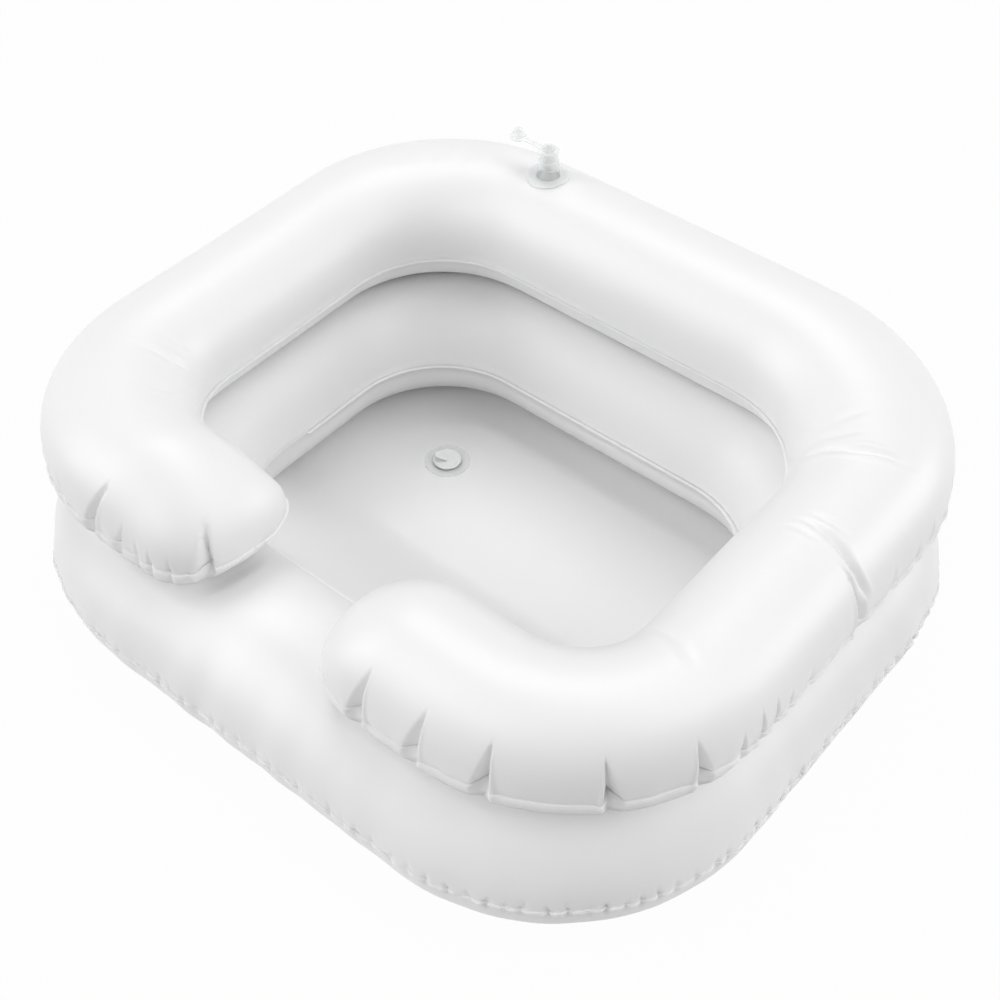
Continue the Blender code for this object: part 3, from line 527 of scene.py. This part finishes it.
# %% Weld rows: how far out, how far down, and how much of the bead each row has, free edge first
WELD_ROWS = (0.1, 1.0, 0.0), (0.55, 0.62, 0.0), (0.9, 0.26, 0.0), (1.0, 0.06, 0.6), (0.6, 0.0, 1.0)
BEAD = 0.0002
# How far a free edge bridges the pleats
BRIDGING = 0.8
# Widths of the welds. Under the floor's ramp the lower ring's inner weld is narrow, so that it
# stays hidden.
UPPER_WELD, UPPER_INNER_WELD = 0.0019, 0.0024
LOWER_WELD, LOWER_INNER_WELD, COVERED_WELD = 0.0012, 0.0036, 0.0004
# How far the upper ring's weld hangs, and how much more along the front: that starts at a y and
# grows over a run, and it also grows over a run from each arm's end.
HANG, FRONT_HANG = 0.0014, 0.0076
FRONT_HANG_Y, FRONT_HANG_RUN, END_HANG_RUN = -0.08, 0.06, 0.05
UPPER_INNER_HANG, LOWER_INNER_HANG = 0.0008, 0.0004
# How far the lower ring's weld hangs, and how much of that comes and goes
LOWER_HANG, LOWER_HANG_RIPPLE = 0.0011, 0.0010


def weld(edge, line, away, width, fall):
    """Rows of a weld, free edge first: edge is where the sheet ends, line is its even run."""
    rows = []
    for reach, drop, bead in WELD_ROWS:
        row = edge + (line - edge) * BRIDGING * drop
        row[:, :2] += away * (width * reach)
        row[:, 2] += BEAD * bead - fall * drop
        rows.append(row)
    return rows


def sheet_rows(outer, point, inner):
    """Joins a sheet's outer weld, its points and its inner weld."""
    return np.concatenate([np.stack(outer, 1), point, np.stack(inner[::-1], 1)], axis=1)


# %% [markdown]
# ## The upper ring's two sheets
# Each sheet is a row of sections, pressed in by its pleats and folds, with a weld along every
# edge.

# %% The upper ring
# How the columns of a sheet crowd towards its outer seam: an even part, a part that follows a
# power, and the power
UPPER_CROWDING, LOWER_CROWDING = (0.45, 0.55, 1.9), (0.35, 0.65, 1.6)
# How softly a round wall goes into the flat that something presses on it
UPPER_FLATTENING, LOWER_FLATTENING = 0.0012, 0.0010
# Up the wall, the lift that keeps the welds apart fades over this reach.
LIFT_REACH = 0.004

ring = upper_ring(count=1000)
upper_seam, upper_inner_seam = ring.seam(1), ring.seam(-1)
upper_run = runs(upper_seam)


def crowd(columns, even, crowded, power):
    """Shares from 0 to 1, closer together near 0."""
    share = np.linspace(0, 1, columns)
    return even * share + crowded * share**power


def upper_sheet(way, columns):
    """Points of one sheet of the upper ring, outer edge first."""
    if way > 0:
        angle = (math.pi + 2 * ring.drop) * crowd(columns, *UPPER_CROWDING) - ring.drop
    else:
        angle = -(math.pi - 2 * ring.drop) * np.linspace(0, 1, columns) - ring.drop
    point, square = ring.at(angle)
    off = np.linalg.norm(point - point[:, :1], axis=2)
    push = -gather(point, upper_seam, PLEATS, way)
    if way > 0:
        push -= press_folds(point)
    push += unevenness(upper_run, off, height=0.0004, reach=0.012, seed=11, pitch=0.020)
    point = point + square * push[..., None]
    if way < 0:
        point[..., 2] = -below(-point[..., 2], -(CONTACT_Z + CLEARANCE / 2), UPPER_FLATTENING)
    lift = np.array([0, 0, way * SEAM_LIFT])
    point += lift * np.exp(-off / LIFT_REACH)[..., None]
    from_end = np.minimum(upper_run, upper_run[-1] - upper_run)
    in_front = ease((FRONT_HANG_Y - upper_seam[:, 1]) / FRONT_HANG_RUN)
    hang = HANG + FRONT_HANG * ease(from_end / END_HANG_RUN) * in_front
    outer = weld(point[:, 0], upper_seam + lift, -inward(upper_seam), UPPER_WELD, hang)
    away = inward(upper_inner_seam)
    line = upper_inner_seam + lift
    inner = weld(point[:, -1], line, away, UPPER_INNER_WELD, UPPER_INNER_HANG)
    points = sheet_rows(outer, point, inner)
    ends = end_weld(points[0], 1), end_weld(points[-1], -1)[::-1]
    return np.concatenate([ends[0], points, ends[1]], axis=0)


def end_weld(row, side):
    """The weld that goes round an arm's end, from its free edge back to the end's own row."""
    column = np.arange(len(row))
    from_edge = np.minimum(column, column[::-1])
    welded = from_edge < len(WELD_ROWS)
    outer_side = column < len(row) / 2
    rows = []
    for k, (reach, drop, bead) in enumerate(WELD_ROWS):
        edge = row.copy()
        edge[:, 0] += side * UPPER_WELD * reach
        edge[:, 2] += BEAD * bead - HANG * drop
        inset = np.minimum(from_edge, k)
        same = np.where(outer_side, inset, len(row) - 1 - inset)
        rows.append(np.where(welded[:, None], row[same], edge))
    return np.stack(rows)


upper_top = lay_sheet("upper_ring_top", upper_sheet(way=1, columns=38), flip=True)
thicken(upper_top, SHEET)
upper_bottom = lay_sheet("upper_ring_bottom", upper_sheet(way=-1, columns=20), flip=False)
thicken(upper_bottom, SHEET)
# The upper valve stands on the back tube's crest, and its stem passes through the top sheet.
VALVE_X, UPPER_VALVE_Y, UPPER_VALVE_Z = -0.116, 0.207, 0.215
STEM_HOLE_RADIUS = 0.0097
bore(upper_top, (VALVE_X, UPPER_VALVE_Y, UPPER_VALVE_Z), (0, 0, 1), STEM_HOLE_RADIUS)
print("upper ring top:", len(upper_top.data.polygons), "faces")

# %% [markdown]
# ## The lower ring's two sheets
# The lower ring is closed, and its seam lies at the tube's middle. Its film gathers there into a
# row of tiny dents, each only a few millimetres long.

# %% The lower ring
lower_outer, lower_inner = ring_plan(LOWER_OUTER, LOWER_INNER, LOWER_SOFTENING, count=1150)
lower = Ring(lower_outer, lower_inner, LOWER_HALF_HEIGHT, LOWER_Z, 0.0)
lower_seam = lower.seam(1)
lower_run = runs(lower_seam)
# Ranges for the dents, in millimetres as for the pleats: depth, width to either side, run up, run
# down, and lean
DENT_DEPTHS, DENT_WIDTHS = (1.0, 2.8), (2.4, 4.6)
DENT_RUNS_UP, DENT_RUNS_DOWN, DENT_LEANS = (7, 12), (5, 8), (-0.5, 0.5)
# The spaces between dents, and the stretch without any at both ends of the seam's line
DENT_SPACES, DENT_MARGIN = (0.010, 0.017), 0.004
# The weakest strength of a dent, and the run over which strength grows from it to 1
DENT_WEAKEST, DENT_GROWTH_RUN = 0.35, 0.2


def seam_dents(seam, run, seed):
    """Small pleats at uneven spaces along a seam, weaker towards the left and the back."""
    chance = np.random.default_rng(seed)
    dents, place = [], DENT_MARGIN
    while place < run[-1] - DENT_MARGIN:
        foot = np.argmin(np.abs(run - place))
        grown = ease((seam[foot, 0] - seam[foot, 1]) / DENT_GROWTH_RUN)
        strength = DENT_WEAKEST + (1 - DENT_WEAKEST) * grown
        dents.append((
            *(seam[foot, :2] * 1000),
            strength * chance.uniform(*DENT_DEPTHS),
            *chance.uniform(*DENT_WIDTHS, 2),
            chance.uniform(*DENT_RUNS_UP),
            chance.uniform(*DENT_RUNS_DOWN),
            chance.uniform(*DENT_LEANS),
        ))
        place += chance.uniform(*DENT_SPACES)
    return dents


LOWER_DENTS = seam_dents(lower_seam, lower_run, seed=8)

# The floor's ramp: its length, how it steepens, how softly it starts and where on the front tube
# it ends, as an angle above the tube's middle
RAMP_LENGTH, RAMP_POWER, RAMP_START = 0.130, 1.35, 0.06
RAMP_JOIN = math.radians(45)
FLOOR_RISE = 0.008
JOIN_Y = -LOWER_MIDDLE_Y + LOWER_HALF_WIDTH * math.cos(RAMP_JOIN)
JOIN_Z = LOWER_Z + LOWER_HALF_HEIGHT * math.sin(RAMP_JOIN)


def floor_height(y):
    """The floor's height: flat, then a ramp up to the front tube's shoulder."""
    up = 1 - np.clip((y - JOIN_Y) / RAMP_LENGTH, 0, 1)
    curve = (up**2 + RAMP_START**2) ** (RAMP_POWER / 2) - RAMP_START**RAMP_POWER
    curve /= (1 + RAMP_START**2) ** (RAMP_POWER / 2) - RAMP_START**RAMP_POWER
    return FLOOR_RISE + (JOIN_Z - FLOOR_RISE) * curve


def lower_sheet(way, columns):
    """Points of one sheet of the lower ring, outer edge first."""
    point, square = lower.at(way * math.pi * crowd(columns, *LOWER_CROWDING))
    off = np.linalg.norm(point - point[:, :1], axis=2)
    push = -gather(point, lower_seam, LOWER_DENTS, way)
    push += unevenness(lower_run, off, height=0.0006, reach=0.03, seed=22, pitch=0.05)
    point = point + square * push[..., None]
    if way > 0:
        x, y = lower.centre.T
        away = np.abs(x) - np.where(x > 0, RIGHT_ARM[0], LEFT_ARM[0])
        pressed = np.where(y < 0, ease(away / PRESS_RUN), 1.0)
        limit = LOWER_TOP_Z + pressed * (CONTACT_Z - CLEARANCE / 2 - LOWER_TOP_Z)
        point[..., 2] = below(point[..., 2], limit[:, None], LOWER_FLATTENING)
    else:
        point[..., 2] = -below(-point[..., 2], 0.0, LOWER_FLATTENING)
    lift = np.array([0, 0, way * SEAM_LIFT])
    point += lift * np.exp(-off / LIFT_REACH)[..., None]
    fall = LOWER_HANG + LOWER_HANG_RIPPLE * ripple(lower_run, seed=5, pitch=0.015)
    outer = weld(point[:, 0], lower_seam + lift, lower.out, LOWER_WELD, fall)
    inner_seam = lower.seam(-1)
    covered = inner_seam[:, 1] < JOIN_Y + RAMP_LENGTH
    width = np.where(covered, COVERED_WELD, LOWER_INNER_WELD)[:, None]
    inner = weld(point[:, -1], inner_seam + lift, -lower.out, width, LOWER_INNER_HANG)
    points = sheet_rows(outer, point, inner)
    return np.concatenate([points, points[:1]], axis=0)


lower_top = lay_sheet("lower_ring_top", lower_sheet(way=1, columns=34), flip=True)
thicken(lower_top, SHEET)
lower_bottom = lay_sheet("lower_ring_bottom", lower_sheet(way=-1, columns=24), flip=False)
thicken(lower_bottom, SHEET)
# The lower valve is on the back, a little above the seam, and its stem stands square to the film.
VALVE_ANGLE = math.radians(30)
across, up = math.cos(VALVE_ANGLE), math.sin(VALVE_ANGLE)
bore(
    lower_top,
    (VALVE_X, LOWER_MIDDLE_Y + LOWER_HALF_WIDTH * across, LOWER_Z + LOWER_HALF_HEIGHT * up),
    (0, across / LOWER_HALF_WIDTH, up / LOWER_HALF_HEIGHT),
    STEM_HOLE_RADIUS,
)
print("lower ring top:", len(lower_top.data.polygons), "faces")

# %% [markdown]
# ## The floor
# The floor sheet is flat round the drain. Towards the neck it rises in one smooth ramp, so that
# water runs back into the bowl, and it is welded on the front tube's shoulder: its rim melts into
# the tube's skin. At the back and sides it meets the lower tube's inner side.


# %% The floor sheet
DRAIN_PLACE, DRAIN_HOLE_RADIUS = np.array([-0.106, 0.066]), 0.0097
# The rim's rows: how far round the tube each lies past the first, and how high it stands off the
# skin
RIM_ROWS = (0, 0.0003), (0.04, 0.00015), (0.08, -0.0001), (0.12, -0.0007)
# The rows from the drain to the rim, and how they crowd towards the rim
FLOOR_ROWS, FLOOR_CROWDING = 59, 0.85
# The ramp's rows rise to the rim's first row from this y on, over this run.
RIM_RISE_Y, RIM_RISE_RUN = -0.06, 0.08
HALVINGS = 40


def floor_points():
    """Rows from the drain's hole out to the rim, each closed round the drain."""
    # Halving finds where the floor's height meets the tube's inner side.
    low = np.full(len(lower.centre), math.pi * 1.5)
    high = np.full(len(lower.centre), math.pi - RAMP_JOIN)
    for _ in range(HALVINGS):
        middle = (low + high) / 2
        y = lower.centre[:, 1] + lower.out[:, 1] * lower.half_width * np.cos(middle)
        under = LOWER_Z + LOWER_HALF_HEIGHT * np.sin(middle) < floor_height(y)
        low, high = np.where(under, middle, low), np.where(under, high, middle)
    angle = ((low + high) / 2)[:, None]
    rims = []
    for turn_on, lift in RIM_ROWS:
        skin, square = lower.at(angle - turn_on)
        rims.append((skin + square * lift)[:, 0])
    away = rims[0][:, :2] - DRAIN_PLACE
    away /= np.linalg.norm(away, axis=1, keepdims=True)
    start = DRAIN_PLACE + away * DRAIN_HOLE_RADIUS
    rows = []
    for share in np.linspace(0, 1, FLOOR_ROWS + 1)[:-1] ** FLOOR_CROWDING:
        flat = start + (rims[0][:, :2] - start) * share
        lift = RIM_ROWS[0][1] * ease((RIM_RISE_Y - flat[:, 1]) / RIM_RISE_RUN)
        rows.append(np.column_stack([flat, floor_height(flat[:, 1]) + lift]))
    points = np.stack(rows + rims, axis=1)[::2]
    return np.concatenate([points, points[:1]], axis=0)


floor = lay_sheet("floor", floor_points(), flip=True)
thicken(floor, SHEET)
print("floor:", len(floor.data.polygons), "faces")

# %% [markdown]
# ## What each piece stands for
# Every new sheet rides on the basin's body and stands for the plain solid of the CAD model.

# %% Rides and stand-ins
for piece, node in (
    (upper_top, "upper_ring_top_sheet"),
    (upper_bottom, "upper_ring_bottom_sheet"),
    (lower_top, "lower_ring_top_sheet"),
    (lower_bottom, "lower_ring_bottom_sheet"),
    (floor, "floor_sheet"),
):
    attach(piece, "basin")
    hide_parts(node)


# %% [markdown]
# ## Materials
# Shader maths reads best as plain sums, so a small class wraps a socket and adds the node for a
# sum or a product.


# %% A little language for shaders
class Value:
    """A socket that can be added and multiplied; each step adds a Math node."""

    def __init__(self, tree, socket):
        self.tree, self.socket = tree, socket

    def _math(self, operation, other):
        node = self.tree.nodes.new("ShaderNodeMath")
        node.operation = operation
        self.tree.links.new(self.socket, node.inputs[0])
        if isinstance(other, Value):
            self.tree.links.new(other.socket, node.inputs[1])
        else:
            node.inputs[1].default_value = other
        return Value(self.tree, node.outputs[0])

    def __add__(self, other):
        return self._math("ADD", other)

    def __mul__(self, other):
        return self._math("MULTIPLY", other)

    __radd__, __rmul__ = __add__, __mul__


class Finish:
    """One material, with short ways to add its nodes."""

    def __init__(self, name, colour, roughness):
        self.material = bpy.data.materials.new(name)
        self.material.use_nodes = True
        self.tree = self.material.node_tree
        self.shader = self.tree.nodes["Principled BSDF"]
        self.shader.inputs["Base Color"].default_value = (*colour, 1)
        self.shader.inputs["Roughness"].default_value = roughness
        self.place = self.node("ShaderNodeTexCoord", {}, {}, "Object")

    def node(self, kind, settings, sockets, output):
        """Adds a node, with its settings and the values or links of its sockets."""
        made = self.tree.nodes.new(kind)
        for name, value in settings.items():
            setattr(made, name, value)
        for name, value in sockets.items():
            if isinstance(value, Value):
                self.tree.links.new(value.socket, made.inputs[name])
            else:
                made.inputs[name].default_value = value
        return Value(self.tree, made.outputs[output])

    def noise(self, scale, detail):
        """Even noise over the object, about this many waves to a metre."""
        sockets = {"Vector": self.place, "Scale": scale, "Detail": detail}
        return self.node("ShaderNodeTexNoise", {}, sockets, "Fac")

    def set(self, name, value):
        """Sets a socket of the shader to a number, or links a value to it."""
        if isinstance(value, Value):
            self.tree.links.new(value.socket, self.shader.inputs[name])
        else:
            self.shader.inputs[name].default_value = value

    def bump(self, height, strength, distance):
        """Lets a height tilt the surface's normal."""
        sockets = {"Height": height, "Strength": strength, "Distance": distance}
        self.set("Normal", self.node("ShaderNodeBump", {}, sockets, "Normal"))


# %% [markdown]
# White PVC film is smooth and a little glossy. Its surface is never quite even: broad soft
# unevenness breaks up the highlights, and handling leaves it slightly duller in places.


# %% White PVC
# The floor's white is a little darker than the rings': painted shade for the floor down in the
# bowl. The plug in the bowl takes the same painted shade.
RING_WHITE, SHADED_FLOOR_WHITE = (0.87, 0.87, 0.87), (0.84, 0.84, 0.84)
# Where the film is at its darkest, its colour as a share of its white
DARKEST_SHARE = 0.985
# Between these y the floor's painted shade fades into the ring's white: painted light up the ramp,
# where it rises out of the bowl.
RAMP_WHITENS_Y = -0.06, -0.14


def white_pvc(name, colour, roughness, lit_ramp_colour=None):
    """White film; up the ramp towards the neck it may take a lighter white, as painted light."""
    finish = Finish(name, colour, roughness)
    broad = finish.noise(scale=9.0, detail=3.0)
    fine = finish.noise(scale=160.0, detail=2.0)
    finish.set("Roughness", broad * 0.10 + (roughness - 0.05) + fine * 0.03)
    tint = finish.node(
        "ShaderNodeMix", {"data_type": "RGBA"},
        {"Factor": broad, "A": (*[c * DARKEST_SHARE for c in colour], 1), "B": (*colour, 1)},
        2,
    )
    if lit_ramp_colour:
        part = finish.node("ShaderNodeSeparateXYZ", {}, {"Vector": finish.place}, "Y")
        up_ramp = finish.node(
            "ShaderNodeMapRange", {"interpolation_type": "SMOOTHSTEP"},
            {"Value": part, "From Min": RAMP_WHITENS_Y[0], "From Max": RAMP_WHITENS_Y[1]}, "Result",
        )
        tint = finish.node(
            "ShaderNodeMix", {"data_type": "RGBA"},
            {"Factor": up_ramp, "A": tint, "B": (*lit_ramp_colour, 1)}, 2,
        )
    finish.set("Base Color", tint)
    finish.bump(broad * 0.8 + fine * 0.05, strength=0.35, distance=0.0012)
    return finish.material


ring_finish = white_pvc("white_pvc_film", RING_WHITE, roughness=0.36)
floor_finish = white_pvc("white_pvc_floor_painted_shade", SHADED_FLOOR_WHITE, roughness=0.36, lit_ramp_colour=RING_WHITE)
for piece in (upper_top, upper_bottom, lower_top, lower_bottom):
    piece.data.materials.append(ring_finish)
floor.data.materials.append(floor_finish)

# The valves and the drain's flange are clear, and the plug with its tab takes the floor's white,
# with its painted shade.
clear = Finish("clear_pvc", (0.93, 0.95, 0.95), roughness=0.18)
clear.set("Alpha", 0.42)
clear.set("IOR", 1.5)
plug_finish = white_pvc("white_plug", SHADED_FLOOR_WHITE, roughness=0.42)
for name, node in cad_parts.items():
    if "valve" in name or name.startswith("drain"):
        node.data.materials.clear()
        is_plug = name in ("drain_stopper", "drain_pull_tab")
        node.data.materials.append(plug_finish if is_plug else clear.material)
print("finishes:", ", ".join(material.name for material in bpy.data.materials))

# %% [markdown]
# ## Light and background
# The basin stands on a plain white floor. Soft light comes from high behind it and from both
# sides, and only a little from the camera's side, so that its pleats and its bowl keep their
# depth. The floor and the world look pure white to the camera. A little of the floor's own shading
# is mixed in, so that it keeps the basin's shadow.

# %% Stage and lamps
# How much of the ground looks plain white to the camera, and how strongly the world lights the
# basin
GROUND_GLOW, WORLD_LIGHT = 0.97, 0.15
LAMP_SPREAD = math.radians(35)

bpy.ops.mesh.primitive_plane_add(size=12, location=(0, 0, -0.0006))
ground = bpy.context.object
ground.name = "studio_floor"


def rays_that_see_white(tree):
    """1 for rays from the camera, and for those that a glossy or clear surface passes on."""
    path = tree.nodes.new("ShaderNodeLightPath")
    camera_ray, glossy_ray, clear_ray = [
        Value(tree, path.outputs[f"Is {kind} Ray"]) for kind in ("Camera", "Glossy", "Transmission")
    ]
    return camera_ray + glossy_ray + clear_ray


ground_finish = Finish("studio_white", (0.60, 0.60, 0.60), roughness=0.9)
glow = ground_finish.node("ShaderNodeEmission", {}, {"Strength": 1.0}, 0)
seen_white = rays_that_see_white(ground_finish.tree) * GROUND_GLOW
mixed = ground_finish.node("ShaderNodeMixShader", {}, {"Fac": seen_white}, 0)
ground_finish.tree.links.new(ground_finish.shader.outputs[0], mixed.socket.node.inputs[1])
ground_finish.tree.links.new(glow.socket, mixed.socket.node.inputs[2])
ground_finish.tree.links.new(
    mixed.socket, ground_finish.tree.nodes["Material Output"].inputs["Surface"]
)
ground.data.materials.append(ground_finish.material)


def sun(name, elevation, heading, strength):
    """A soft, far lamp. Its heading turns anticlockwise from +X; a strength of 1 is full light."""
    data = bpy.data.lights.new(name, "SUN")
    data.angle = LAMP_SPREAD
    data.energy = math.pi * strength
    made = bpy.data.objects.new(name, data)
    bpy.context.scene.collection.objects.link(made)
    made.rotation_euler = (math.radians(90 - elevation), 0, math.radians(heading + 90))


sun("high_behind", 65, 135, 0.28)
sun("high_right", 65, 45, 0.14)
sun("right", 40, 12, 0.20)
sun("low_right", 15, 45, 0.30)
sun("left", 40, 222, 0.22)
sun("low_left", 15, 225, 0.23)
sun("front", 40, 270, 0.16)

world = bpy.data.worlds.new("studio")
bpy.context.scene.world = world
world.use_nodes = True
background = world.node_tree.nodes["Background"]
background.inputs["Color"].default_value = (1, 1, 1, 1)
strength = rays_that_see_white(world.node_tree) * (1 - WORLD_LIGHT) + WORLD_LIGHT
world.node_tree.links.new(strength.socket, background.inputs["Strength"])
bpy.context.scene.view_settings.view_transform = "Standard"
print("lamps:", len(bpy.data.lights))
